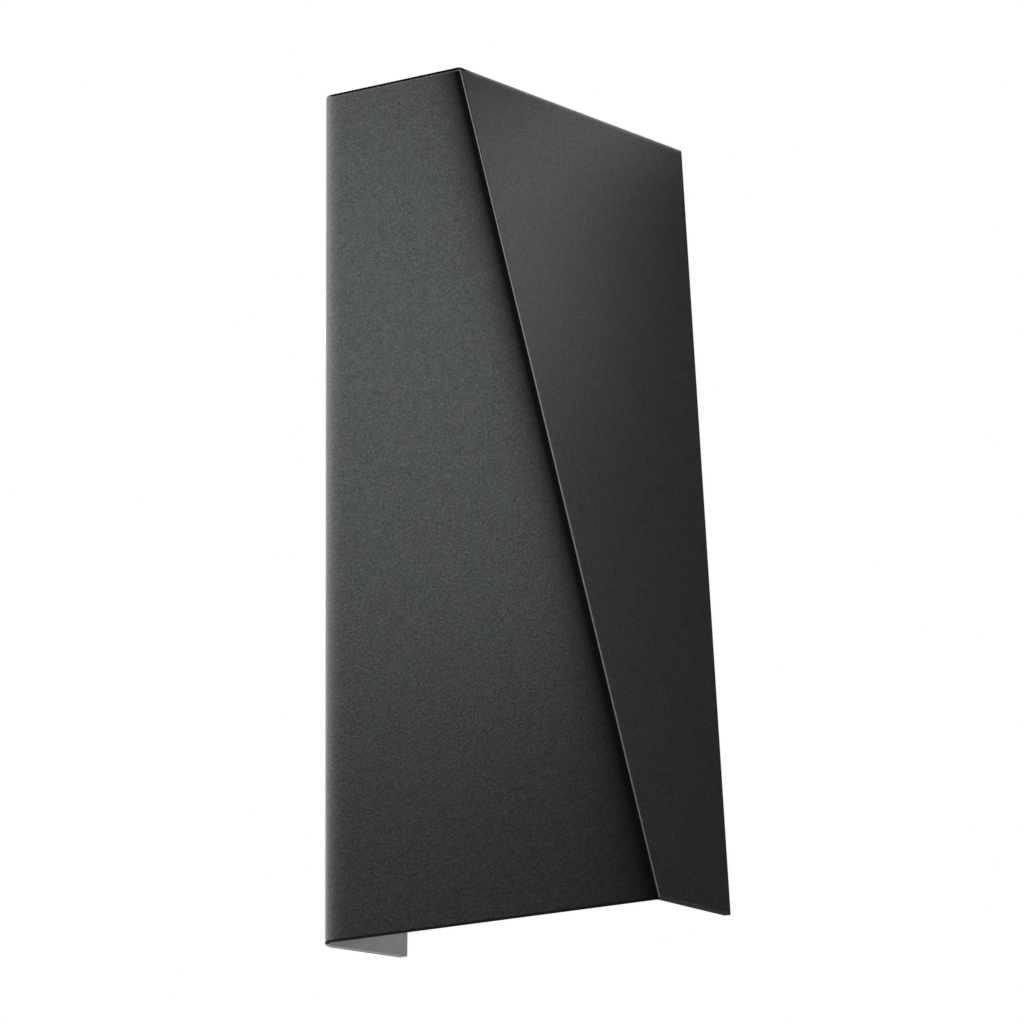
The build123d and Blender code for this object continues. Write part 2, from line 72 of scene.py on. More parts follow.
class End(Enum):
    """The two ends of the light engine, with the way each one faces along Z."""

    UPPER = 1
    LOWER = -1

    @property
    def word(self) -> str:
        """The word that starts the names of this end's nodes."""
        return self.name.lower()

    @property
    def turn(self) -> Matrix:
        """Turns a piece that is made facing up to face out of this end."""
        return Matrix.Diagonal((1, self.value, self.value, 1))

    def span(self, low: Vector, high: Vector) -> Pair:
        """The inner and the outer height of a box at this end."""
        return (low.z, high.z) if self is End.UPPER else (high.z, low.z)


class Skin(Enum):
    """The coats on the folded sheet, by material slot."""

    OUTSIDE = 0
    INSIDE = 1
    FOOT_EDGE = 2


class Body(Enum):
    """The bodies that new pieces ride on."""

    BASE = "base"
    SHADE = "shade"


def display(*levels: float) -> RGB:
    """The linear values of a colour whose red, green and blue a screen shows from 0 to 255."""
    shares = [level / 255 for level in levels]
    return tuple(s / 12.92 if s <= 0.04045 else ((s + 0.055) / 1.055) ** 2.4 for s in shares)


def operator(kind: str, swapped: bool = False) -> Callable[["Signal", "Signal | float"], "Signal"]:
    """Makes an operator of Signal that adds one Math node.

    Args:
        kind: The node's operation.
        swapped: Whether the signal is its second value.

    Returns:
        The operator.
    """
    def method(signal: "Signal", value: "Signal | float" = 0.0) -> "Signal":
        """Adds the node and returns its result."""
        pair = (value, signal) if swapped else (signal, value)
        return signal.tree.node("ShaderNodeMath", {"operation": kind}, dict(enumerate(pair)))

    return method


class Signal:
    """One output socket of a node tree; arithmetic on it adds Math nodes."""

    __add__ = __radd__ = operator("ADD")
    __mul__ = __rmul__ = operator("MULTIPLY")
    __sub__ = operator("SUBTRACT")
    __rsub__ = operator("SUBTRACT", swapped=True)
    __rpow__ = operator("POWER", swapped=True)
    __abs__ = operator("ABSOLUTE")
    at_most = operator("MINIMUM")

    def __init__(self, tree: "NodeTree", socket: bpy.types.NodeSocket) -> None:
        """Keeps the socket and the tree that it belongs to."""
        self.tree = tree
        self.socket = socket

    def other(self, name: str) -> "Signal":
        """Another output of the same node."""
        return Signal(self.tree, self.socket.node.outputs[name])


class NodeTree:
    """A shader or geometry tree that is written as expressions."""

    def __init__(self, tree: bpy.types.NodeTree) -> None:
        """Takes over a tree and empties it."""
        self.tree = tree
        tree.nodes.clear()

    def node(
        self,
        kind: str,
        settings: Values | None = None,
        sockets: dict[int | str, object] | None = None,
        output: int | str = 0,
    ) -> Signal | None:
        """Adds one node.

        Args:
            kind: The node's type.
            settings: Properties of the node, set before its sockets.
            sockets: Values or links by socket name or number.
            output: The output to return.

        Returns:
            The chosen output, or nothing from a node without outputs.
        """
        made = self.tree.nodes.new(kind)
        for key, value in (settings or {}).items():
            setattr(made, key, value)
        for key, value in (sockets or {}).items():
            if isinstance(value, Signal):
                self.tree.links.new(value.socket, made.inputs[key])
            else:
                made.inputs[key].default_value = value
        return Signal(self, made.outputs[output]) if made.outputs else None

    def step(
        self, value: Signal, low: float, high: float, start: float = 0.0, end: float = 1.0
    ) -> Signal:
        """Smooth change from start to end while the value goes from low to high."""
        limits = {"From Min": low, "From Max": high, "To Min": start, "To Max": end}
        return self.node("ShaderNodeMapRange", SMOOTH, {"Value": value, **limits})


class FinishTree(NodeTree):
    """The node tree of one material, with the steps that the finishes share."""

    def __init__(self, name: str) -> None:
        """Makes an empty material.

        Args:
            name: Name of the material.
        """
        self.material = bpy.data.materials.new(name)
        self.material.use_nodes = True
        super().__init__(self.material.node_tree)
        self.place = self.node("ShaderNodeTexCoord", output="Object")

    def axes(self) -> tuple[Signal, Signal, Signal]:
        """The three coordinates of a point on the piece."""
        split = self.node("ShaderNodeSeparateXYZ", sockets={0: self.place})
        return split, split.other("Y"), split.other("Z")

    def noise(
        self, size: float, detail: float = 2.0, stretch: Sequence[float] = (1, 1, 1), lay: float = 0.0
    ) -> Signal:
        """Soft noise on Object coordinates.

        Args:
            size: Size of one patch in metres.
            detail: Number of finer layers.
            stretch: How many times longer a patch is along X, Y and Z.
            lay: How far the stretched patches turn up from X towards Z, in degrees.

        Returns:
            The noise from 0 to 1.
        """
        turn = {"Rotation": (0, -math.radians(lay), 0), "Scale": tuple(stretch)}
        where = self.node(
            "ShaderNodeMapping", {"vector_type": "TEXTURE"}, {"Vector": self.place, **turn}
        )
        sockets = {"Vector": where, "Scale": 1 / size, "Detail": detail}
        return self.node("ShaderNodeTexNoise", sockets=sockets)

    def band(self, value: Signal, low: float, high: float, soft: float) -> Signal:
        """One between low and high and nothing outside, with edges that soft."""
        rise = self.step(value, low - soft / 2, low + soft / 2)
        return rise * self.step(value, high - soft / 2, high + soft / 2, 1.0, 0.0)

    def fade(self, value: Signal, reach: float) -> Signal:
        """Falls from one as the value grows, to about a third within that reach."""
        return math.e ** (value * (-1 / reach))

    def blend(self, factor: Signal, first: Signal | RGB, second: Signal | RGB) -> Signal:
        """Mix of two colours, with that share of the second."""
        one, two = (c if isinstance(c, Signal) else (*c, 1.0) for c in (first, second))
        return self.node("ShaderNodeMix", {"data_type": "RGBA"}, {0: factor, 6: one, 7: two}, 2)

    def mottle(
        self, share: Signal, colour: RGB, dark: float, pale: float, over: Sequence[float] = MIDDLE
    ) -> Signal:
        """A colour times dark where a noise is low, going over to times pale where it is high."""
        shades = [tuple(min(1.0, c * times) for c in colour) for times in (dark, pale)]
        return self.blend(self.step(share, *over), *shades)

    def bump(self, height: Signal, depth: float) -> Signal:
        """Bumps of that depth in metres."""
        sockets = {"Height": height, "Distance": depth, "Strength": 1.0}
        return self.node("ShaderNodeBump", sockets=sockets)

    def surface(self, sockets: Values) -> Signal:
        """A Principled shader of values or links; a plain colour has three values."""
        full = {k: (*v, 1.0) if isinstance(v, tuple) else v for k, v in sockets.items()}
        return self.node("ShaderNodeBsdfPrincipled", sockets=full)

    def finished(self, shader: Signal) -> Material:
        """Links the shader to the output and returns the material."""
        self.node("ShaderNodeOutputMaterial", sockets={"Surface": shader})
        return self.material


class Finish:
    """A finish made of nodes alone; each kind gives its own sockets or its own shader."""

    def sockets(self, tree: FinishTree) -> Values:
        """Values for FinishTree.surface."""
        raise NotImplementedError

    def shader(self, tree: FinishTree) -> Signal:
        """The shader of the finish."""
        return tree.surface(self.sockets(tree))

    def build(self, name: str) -> Material:
        """The material, under that name."""
        tree = FinishTree(name)
        return tree.finished(self.shader(tree))


@dataclass(frozen=True)
class Grained(Finish):
    """A fine grain over soft clouds, which spread the colour's shades and the roughness."""

    colour: RGB
    roughness: float = 0.45
    grain: float = 0.25 * MM
    grain_detail: float = 1.0
    cloud: float = 6 * MM
    cloud_detail: float = 3.0
    cloud_run: Sequence[float] = (1.0, 1.0, 1.0)
    grain_share: float = 0.4
    bump_share: float = 1.0
    relief: float = 0.008 * MM
    shades: Pair = (0.94, 1.06)
    unevenness: Pair = (-0.05, 0.06)
    uneven_over: Pair = MIDDLE
    metal: float = 0.0
    gloss: float = 0.5
    gloss_tint: RGB = (1.0, 1.0, 1.0)

    def sockets(self, tree: FinishTree) -> Values:
        """Spreads the grain and the clouds.

        Args:
            tree: The material's tree.

        Returns:
            Values for FinishTree.surface.
        """
        grain = tree.noise(self.grain, self.grain_detail)
        clouds = tree.noise(self.cloud, self.cloud_detail, self.cloud_run)
        share = grain * self.grain_share + clouds * (1 - self.grain_share)
        height = grain * self.bump_share + clouds * (1 - self.bump_share)
        smooth, rough = (self.roughness + change for change in self.unevenness)
        return {
            "Base Color": tree.mottle(share, self.colour, *self.shades),
            "Metallic": self.metal,
            "Roughness": tree.step(clouds, *self.uneven_over, smooth, rough),
            "Normal": tree.bump(height, self.relief),
            "Specular IOR Level": self.gloss,
            "Specular Tint": self.gloss_tint,
        }


@dataclass(frozen=True)
class Moulding(Grained):
    """A moulded plastic or rubber: spark eroded skin with slight clouding."""


@dataclass(frozen=True)
class BlastedAluminium(Grained):
    """Die cast aluminium with a bead blasted skin and long, faint flow marks."""

    roughness: float = 0.46
    grain: float = 0.35 * MM
    cloud: float = 9 * MM
    cloud_detail: float = 4.0
    cloud_run: Sequence[float] = (1.0, 1.0, 2.5)
    relief: float = 0.02 * MM
    shades: Pair = (0.86, 1.07)
    unevenness: Pair = (-0.05, 0.07)
    metal: float = 1.0


@dataclass(frozen=True)
class PowderCoat(Grained):
    """A fine textured powder coat: sprayed, baked, slightly mottled, with pebbles in clusters."""

    roughness: float = 0.5
    grain: float = 0.55 * MM
    grain_detail: float = 1.5
    cloud: float = 2.2 * MM
    cloud_detail: float = 2.0
    grain_share: float = 0.6
    bump_share: float = 0.7
    relief: float = 0.05 * MM
    shades: Pair = (0.7, 1.3)
    unevenness: Pair = (-0.03, 0.03)
    uneven_over: Pair = WIDE


@dataclass(frozen=True)
class PlatedSteel(Finish):
    """Plated sheet or turned steel: soft crystal patches under fine drawn lines."""

    colour: RGB
    roughness: float = 0.34
    unevenness: Pair = (0.08, -0.06)
    spangle: float = 5 * MM
    stain: float = 3.0
    line: float = 0.12 * MM
    run: Sequence[float] = (1.0, 1.0, 50.0)
    mix: Sequence[float] = (0.35, 0.35, 0.3)
    relief: float = 0.006 * MM
    shades: Pair = (0.82, 1.1)
    contrast: Pair = (0.25, 0.75)

    def sockets(self, tree: FinishTree) -> Values:
        """Crystals, lines and stains, brighter where they are smoother.

        Args:
            tree: The material's tree.

        Returns:
            Values for FinishTree.surface.
        """
        lines = tree.noise(self.line, stretch=self.run)
        where = {"Vector": tree.place, "Scale": 1 / self.spangle}
        cells = tree.node("ShaderNodeTexVoronoi", sockets=where, output="Color")
        crystals = tree.node("ShaderNodeSeparateXYZ", sockets={0: cells})
        stains = tree.noise(self.spangle * self.stain, detail=3.0)
        share = crystals * self.mix[0] + lines * self.mix[1] + stains * self.mix[2]
        rough, smooth = (self.roughness + change for change in self.unevenness)
        return {
            "Base Color": tree.mottle(share, self.colour, *self.shades, self.contrast),
            "Metallic": 1.0,
            "Roughness": tree.step(share, *WIDE, rough, smooth),
            "Normal": tree.bump(lines, self.relief),
        }


@dataclass(frozen=True)
class StripedSleeve(Finish):
    """A two colour sleeve: a second colour runs along one side of the wire."""

    colour: RGB
    stripe: RGB
    middle: float
    half_width: float = 0.55 * MM
    blur: Pair = (0.85, 1.15)
    wander: float = 0.25 * MM
    bow: float = 3 * MM
    cloud: float = 2 * MM
    roughness: Pair = (0.36, 0.46)
    relief: float = 0.01 * MM

    def sockets(self, tree: FinishTree) -> Values:
        """A stripe that wanders a little along the wire.

        Args:
            tree: The material's tree.

        Returns:
            Values for FinishTree.surface.
        """
        across, _, _ = tree.axes()
        wander = (tree.noise(self.bow, detail=1.0) - 0.5) * self.wander
        side = abs(across - self.middle + wander)
        mask = tree.step(side, *(self.half_width * times for times in self.blur), 1.0, 0.0)
        clouds = tree.noise(self.cloud)
        return {
            "Base Color": tree.blend(mask, self.colour, self.stripe),
            "Roughness": tree.step(clouds, *MIDDLE, *self.roughness),
            "Normal": tree.bump(clouds, self.relief),
        }


@dataclass(frozen=True)
class ClearAcrylic(Finish):
    """Clear moulded acrylic whose inner face is lightly frosted."""

    colour: RGB = (0.93, 0.95, 0.95)
    deeper: float = 0.97
    cloud: float = 5 * MM
    frost: float = 0.3 * MM
    roughness: Pair = (0.16, 0.3)
    relief: float = 0.01 * MM
    index: float = 1.49

    def sockets(self, tree: FinishTree) -> Values:
        """Fine frosting in a clear body.

        Args:
            tree: The material's tree.

        Returns:
            Values for FinishTree.surface.
        """
        frosting = tree.noise(self.frost, detail=1.0)
        deeper = tuple(c * self.deeper for c in self.colour)
        return {
            "Base Color": tree.blend(tree.noise(self.cloud), deeper, self.colour),
            "Roughness": tree.step(frosting, *MIDDLE, *self.roughness),
            "Transmission Weight": 1.0,
            "IOR": self.index,
            "Normal": tree.bump(frosting, self.relief),
        }


@dataclass(frozen=True)
class SolderMask(Finish):
    """White solder mask over an aluminium board, with raised copper runs under it."""

    middle: float
    colour: RGB = (0.78, 0.78, 0.75)
    shades: Pair = (0.95, 1.0)
    run_shade: float = 0.88
    run_half: float = 0.7 * MM
    run_offset: float = 2.3 * MM
    blur: Pair = (0.8, 1.2)
    weave: float = 0.4 * MM
    weave_share: float = 0.1
    roughness: Pair = (0.3, 0.4)
    relief: float = 0.03 * MM

    def sockets(self, tree: FinishTree) -> Values:
        """Two copper runs along the board, one each side of its middle.

        Args:
            tree: The material's tree.

        Returns:
            Values for FinishTree.surface.
        """
        _, depth, _ = tree.axes()
        side = abs(abs(depth - self.middle) - self.run_offset)
        run = tree.step(side, *(self.run_half * times for times in self.blur), 1.0, 0.0)
        weave = tree.noise(self.weave)
        tint = tree.mottle(weave, self.colour, *self.shades)
        return {
            "Base Color": tree.blend(run, tint, tuple(c * self.run_shade for c in self.colour)),
            "Roughness": tree.step(weave, *MIDDLE, *self.roughness),
            "Normal": tree.bump(run + weave * self.weave_share, self.relief),
        }


def make_finishes() -> Materials:
    """Makes the finishes of the fittings.

    Returns:
        The materials by name.
    """
    earth_low, earth_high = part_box("earth_lead")
    board_low, board_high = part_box("upper_led_board")
    earth_line, board_line = (earth_low.x + earth_high.x) / 2, (board_low.y + board_high.y) / 2
    finishes = {
        "zinc_sheet": PlatedSteel(display(178, 180, 182)),
        "zinc_screw": PlatedSteel(display(176, 177, 180), roughness=0.28, spangle=1.5 * MM),
        "nickel_screw": PlatedSteel(display(170, 168, 164), roughness=0.24, spangle=1.5 * MM),
        "tinned_lug": PlatedSteel(display(186, 184, 178), roughness=0.36, spangle=2 * MM),
        "blasted_housing": BlastedAluminium(display(186, 188, 190)),
        "driver_moulding": Moulding(display(226, 226, 221)),
        "terminal_moulding": Moulding(display(206, 206, 201), roughness=0.4),
        "orange_button": Moulding(display(214, 108, 30), roughness=0.38),
        "green_button": Moulding(display(62, 128, 62), roughness=0.38),
        "brown_sleeve": Moulding(display(98, 60, 36), roughness=0.36),
        "blue_sleeve": Moulding(display(48, 96, 176), roughness=0.36),
        "red_sleeve": Moulding(display(178, 44, 36), roughness=0.36),
        "earth_sleeve": StripedSleeve(display(52, 128, 58), display(222, 200, 52), earth_line),
        "black_rubber": Moulding(display(40, 40, 41), 0.62, grain=0.5 * MM, relief=0.03 * MM),
        "heat_pad": Moulding(display(150, 162, 178), 0.7, grain=0.6 * MM, relief=0.03 * MM),
        "solder_mask": SolderMask(board_line),
        "led_body": Moulding(display(232, 231, 226), roughness=0.35),
        "led_phosphor": Moulding(display(238, 206, 96), 0.5, grain=0.2 * MM, shades=(0.9, 1.1)),
        "lens_acrylic": ClearAcrylic(),
        "bezel_coat": PowderCoat(display(46, 47, 48), grain=0.4 * MM, cloud=1.6 * MM),
    }
    return {name: finish.build(name) for name, finish in finishes.items()}


def round_loop(radius: float, height: float, turns: Sequence[float] = TURNS) -> Loop:
    """Points round a circle across Z."""
    return [Vector((radius * math.cos(t), radius * math.sin(t), height)) for t in turns]


def key_loop(across: float, height: float) -> Loop:
    """Points round a hexagon across Z, as many as round a circle."""
    reaches = [across / 2 / math.cos((t + SIXTH / 2) % SIXTH - SIXTH / 2) for t in TURNS]
    return [round_loop(reach, height, [t])[0] for reach, t in zip(reaches, TURNS)]


def box_loop(half_x: float, half_y: float, corner: float, height: float, steps: int = 6) -> Loop:
    """Points round a rectangle with rounded corners across Z.

    Args:
        half_x: Half of its size along X.
        half_y: Half of its size along Y.
        corner: Radius of its corners.
        height: Its place along Z.
        steps: Steps in each corner.

    Returns:
        The points in order.
    """
    points = []
    for quarter, (sx, sy) in enumerate(((1, 1), (-1, 1), (-1, -1), (1, -1))):
        centre = Vector((sx * (half_x - corner), sy * (half_y - corner), height))
        for k in range(steps + 1):
            turn = math.pi / 2 * (quarter + k / steps)
            points.append(centre + Vector((math.cos(turn), math.sin(turn), 0)) * corner)
    return points


def skin_loops(loops: Sequence[Loop]) -> BMesh:
    """Closed body through loops of as many points each.

    Args:
        loops: The loops from one end of the body to the other.

    Returns:
        The mesh, with both ends closed.
    """
    mesh = bmesh.new()
    rings = [[mesh.verts.new(point) for point in loop] for loop in loops]
    count = len(rings[0])
    for low, high in zip(rings, rings[1:]):
        for k in range(count):
            n = (k + 1) % count
            mesh.faces.new((low[k], low[n], high[n], high[k]))
    mesh.faces.new(list(reversed(rings[0])))
    mesh.faces.new(rings[-1])
    bmesh.ops.recalc_face_normals(mesh, faces=mesh.faces)
    return mesh


def turn_body(rings: Sequence[Sequence[float]], turns: Sequence[float] = TURNS) -> BMesh:
    """Closed body turned about Z, through rings of a radius and a height each."""
    return skin_loops([round_loop(radius, height, turns) for radius, height in rings])


def face_to(way: Vector) -> Matrix:
    """Turns a piece that is made facing up to face that way."""
    return Vector((0, 0, 1)).rotation_difference(way).to_matrix().to_4x4()


def place_mesh(mesh: BMesh, name: str, turn: Matrix | None = None) -> Object:
    """Makes an object of a mesh, smooth but for its sharp edges.

    Args:
        mesh: The mesh, which is used up.
        name: The object's name.
        turn: A turn or move that goes into the mesh.

    Returns:
        The new object, at the origin.
    """
    if turn is not None:
        bmesh.ops.transform(mesh, matrix=turn, verts=mesh.verts)
    data = bpy.data.meshes.new(name)
    mesh.to_mesh(data)
    mesh.free()
    data.shade_smooth()
    data.set_sharp_from_angle(angle=SHARP_ANGLE)
    made = bpy.data.objects.new(name, data)
    bpy.context.scene.collection.objects.link(made)
    return made


def settle(piece: Object) -> None:
    """Replaces a piece's mesh and modifiers by the mesh that they give.

    Args:
        piece: The object to make plain.
    """
    whole = piece.evaluated_get(bpy.context.evaluated_depsgraph_get())
    data = bpy.data.meshes.new_from_object(whole)
    data.name = piece.name
    piece.modifiers.clear()
    piece.data = data


class RepeatTree(NodeTree):
    """A geometry tree that repeats one piece, and the modifier that runs it."""

    usual: Values = {}

    def __init__(self, name: str, inputs: dict[str, str]) -> None:
        """Makes the tree with its named inputs.

        Args:
            name: Name of the tree.
            inputs: Socket types by input name, apart from the piece and its finish.
        """
        super().__init__(bpy.data.node_groups.new(name, "GeometryNodeTree"))
        sides = self.tree.interface
        inputs = {**inputs, "Piece": "NodeSocketObject", "Finish": "NodeSocketMaterial"}
        self.inputs = {
            label: sides.new_socket(label, in_out="INPUT", socket_type=kind)
            for label, kind in inputs.items()
        }
        sides.new_socket("Geometry", in_out="OUTPUT", socket_type="NodeSocketGeometry")
        self.get = self.node("NodeGroupInput").other
        self.shape = self.node(
            "GeometryNodeObjectInfo", sockets={"Object": self.get("Piece")}, output="Geometry"
        )

    def close(self, instances: Signal) -> None:
        """Ends the tree in real faces with their finish.

        Args:
            instances: The repeated piece.
        """
        real = self.node("GeometryNodeRealizeInstances", sockets={0: instances})
        dressed = self.node(
            "GeometryNodeSetMaterial", sockets={"Geometry": real, "Material": self.get("Finish")}
        )
        self.node("NodeGroupOutput", sockets={"Geometry": dressed})

    def run(self, name: str, piece: Object, finish: Material, values: Values) -> Object:
        """Runs the tree and keeps its result as a plain mesh.

        Args:
            name: Name of the new object.
            piece: The object that is repeated, which is used up.
            finish: Finish of every copy.
            values: Values of the other named inputs, apart from those that stay as usual.

        Returns:
            The new object.
        """
        host = bpy.data.objects.new(name, bpy.data.meshes.new(name))
        bpy.context.scene.collection.objects.link(host)
        modifier = host.modifiers.new(self.tree.name, "NODES")
        modifier.node_group = self.tree
        values = {**self.usual, **values, "Piece": piece, "Finish": finish}
        for label, value in values.items():
            modifier[self.inputs[label].identifier] = value
        settle(host)
        bpy.data.objects.remove(piece)
        return host


class RowTree(RepeatTree):
    """Repeats a piece in rows: a start, and two steps with their counts."""

    usual = {"Count A": 2, "Step B": Vector(), "Count B": 1}

    def __init__(self) -> None:
        """Builds the tree."""
        vector, whole = "NodeSocketVector", "NodeSocketInt"
        super().__init__("rows", {
            "Start": vector, "Step A": vector, "Count A": whole, "Step B": vector, "Count B": whole,
        })
        line, repeat = "GeometryNodeMeshLine", "GeometryNodeInstanceOnPoints"
        along = self.node(line, sockets={
            "Count": self.get("Count A"),
            "Start Location": self.get("Start"),
            "Offset": self.get("Step A"),
        })
        across = self.node(line, sockets={
            "Count": self.get("Count B"), "Offset": self.get("Step B"),
        })
        lines = self.node(repeat, sockets={"Points": along, "Instance": across})
        points = self.node("GeometryNodeRealizeInstances", sockets={0: lines})
        self.close(self.node(repeat, sockets={"Points": points, "Instance": self.shape}))


class RingTree(RepeatTree):
    """Repeats a piece round an upright axis, turned outwards at each place."""

    def __init__(self) -> None:
        """Builds the tree."""
        super().__init__("ring", {
            "Centre": "NodeSocketVector", "Radius": "NodeSocketFloat", "Count": "NodeSocketInt",
        })
        circle = self.node(
            "GeometryNodeMeshCircle",
            sockets={"Vertices": self.get("Count"), "Radius": self.get("Radius")},
        )
        outwards = self.node(
            "FunctionNodeAlignRotationToVector",
            {"axis": "X", "pivot_axis": "Z"},
            {"Vector": self.node("GeometryNodeInputPosition")},
        )
        ring = self.node(
            "GeometryNodeInstanceOnPoints",
            sockets={"Points": circle, "Instance": self.shape, "Rotation": outwards},
        )
        placed = {"Geometry": ring, "Translation": self.get("Centre")}
        self.close(self.node("GeometryNodeTransform", sockets=placed))


def add_piece(piece: Object, body: Body, slot: str, *stands_for: str) -> None:
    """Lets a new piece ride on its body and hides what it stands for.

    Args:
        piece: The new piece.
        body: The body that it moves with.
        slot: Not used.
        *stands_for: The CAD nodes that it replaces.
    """
    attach(piece, body.value)
    if stands_for:
        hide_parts(*stands_for)
    faces = len(piece.data.polygons)
    log.info("%s rides on %s and has %d faces", piece.name, body.value, faces)


def dress(node: str, finish: Material) -> None:
    """Gives a CAD node its finish.

    Args:
        node: Name of the node.
        finish: The material that it gets.
    """
    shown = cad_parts[node]
    shown.data.materials.clear()
    shown.data.materials.append(finish)
    log.info("%s is dressed in %s", node, finish.name)


@dataclass
class FoldedShade:
    """The folded sheet: a front panel, a creased wing and a cheek that turns back to the wall."""

    sheet: float = 1.0 * MM
    bend_radius: float = 1.8 * MM
    foot_depth: float = 12.3 * MM
    wing_run: float = 1.096
    cheek_inset: float = 14.2 * MM
    edge_round: float = 0.12 * MM
    edge_segments: int = 3
    edge_angle: float = math.radians(35)
    rows: int = 24
    arc_steps: int = 16
    run_steps: int = 8
    low: Vector = field(default_factory=lambda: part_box("folded_shade")[0])
    high: Vector = field(default_factory=lambda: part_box("folded_shade")[1])

    @property
    def height(self) -> float:
        """Height of the sheet."""
        return self.high.z - self.low.z

    @property
    def lean(self) -> float:
        """How far the front panel leans out for each metre up."""
        return (-self.low.y - self.foot_depth) / self.height

    def depth(self, z: float) -> float:
        """Depth of the front panel from the wall at one height."""
        return self.foot_depth + self.lean * (z - self.low.z)

    def crease_line(self) -> Pair:
        """Place of the crease along X at height 0, and how far it moves for each metre up."""
        return self.high.x - self.wing_run * self.depth(0.0), -self.wing_run * self.lean

    def corners(self, z: float, inset: float) -> list[Vector]:
        """Corners of the folded line in plan.

        Args:
            z: Height of the plan.
            inset: How far inside the outer face the line lies.

        Returns:
            The cheek's foot, the left bend, the crease and the wing's edge.
        """
        depth = self.depth(z)
        aim = Vector((self.bend_radius - self.cheek_inset, self.bend_radius - depth))
        turn = math.asin(self.bend_radius / aim.length)
        cheek = (Matrix.Rotation(-turn, 2) @ aim).normalized()
        front = inset - depth
        foot = self.low.x + self.cheek_inset - inset / cheek.y
        edge = self.high.x - inset * math.hypot(1, self.wing_run)
        return [
            Vector((foot, 0)),
            Vector((foot + cheek.x * front / cheek.y, front)),
            Vector((edge + self.wing_run * front, front)),
            Vector((edge, 0)),
        ]

    def run(self, first: Vector, last: Vector) -> list[Vector]:
        """Points along a straight run, without its first one."""
        return [first.lerp(last, (n + 1) / self.run_steps) for n in range(self.run_steps)]

    def plan(self, z: float, inset: float) -> list[Vector]:
        """Points along the folded line in plan, with both bends rounded.

        Args:
            z: Height of the plan.
            inset: How far inside the outer face the line lies.

        Returns:
            The points, as many at every height and inset.
        """
        radius = self.bend_radius - inset
        corners = self.corners(z, inset)
        points = [corners[0]]
        for before, corner, after in zip(corners, corners[1:], corners[2:]):
            back, on = (before - corner).normalized(), (after - corner).normalized()
            half = back.angle(on) / 2
            start = corner + back * (radius / math.tan(half))
            centre = corner + (back + on).normalized() * (radius / math.sin(half))
            sweep = (math.pi - 2 * half) * (1 if back.cross(on) < 0 else -1)
            points += self.run(points[-1], start)
            for n in range(self.arc_steps):
                turn = Matrix.Rotation(sweep * (n + 1) / self.arc_steps, 2)
                points.append(centre + turn @ (start - centre))
        return points + self.run(points[-1], corners[3])

    def mesh(self) -> BMesh:
        """Makes the sheet as a closed shell.

        Returns:
            The shell, with its coats in separate slots.
        """
        shell = bmesh.new()
        skins = {Skin.OUTSIDE: [], Skin.INSIDE: []}
        for row in range(self.rows + 1):
            z = self.low.z + self.height * row / self.rows
            for skin, inset in ((Skin.OUTSIDE, 0.0), (Skin.INSIDE, self.sheet)):
                skins[skin].append([shell.verts.new((*p, z)) for p in self.plan(z, inset)])
        outer, inner = skins[Skin.OUTSIDE], skins[Skin.INSIDE]
        last = len(outer[0]) - 1

        def add(skin: Skin, *corners: BMVert) -> None:
            """Adds one face in its coat."""
            shell.faces.new(corners).material_index = skin.value

        for row in range(self.rows):
            for k in range(last):
                for skin, grid in skins.items():
                    low, high = grid[row], grid[row + 1]
                    add(skin, low[k], low[k + 1], high[k + 1], high[k])
            for k, skin in ((0, Skin.INSIDE), (last, Skin.OUTSIDE)):
                add(skin, outer[row][k], inner[row][k], inner[row + 1][k], outer[row + 1][k])
        for row in (0, self.rows):
            for k in range(last):
                on_cheek = k < self.run_steps + self.arc_steps // 2
                skin = Skin.FOOT_EDGE if on_cheek else Skin.OUTSIDE
                add(skin, outer[row][k], outer[row][k + 1], inner[row][k + 1], inner[row][k])
        bmesh.ops.recalc_face_normals(shell, faces=shell.faces)
        return shell

    def build(self, coats: dict[Skin, Material]) -> None:
        """Makes the shade with rounded cut edges.

        Args:
            coats: The coat of each skin.
        """
        shade = place_mesh(self.mesh(), "shade_sheet")
        for skin in Skin:
            shade.data.materials.append(coats[skin])
        bevel = shade.modifiers.new("cut_edges", "BEVEL")
        bevel.width = self.edge_round
        bevel.segments = self.edge_segments
        bevel.limit_method = "ANGLE"
        bevel.angle_limit = self.edge_angle
        even = shade.modifiers.new("even_shading", "WEIGHTED_NORMAL")
        even.keep_sharp = False
        shade.data.shade_smooth()
        settle(shade)
        add_piece(shade, Body.SHADE, "shade_coat", "folded_shade")


@dataclass(frozen=True)
class SheetPlace:
    """Where a point lies on the shade, as the distances that the coat's masks read."""

    beside: Signal
    from_left: Signal
    from_top: Signal
    from_foot: Signal
    behind: Signal


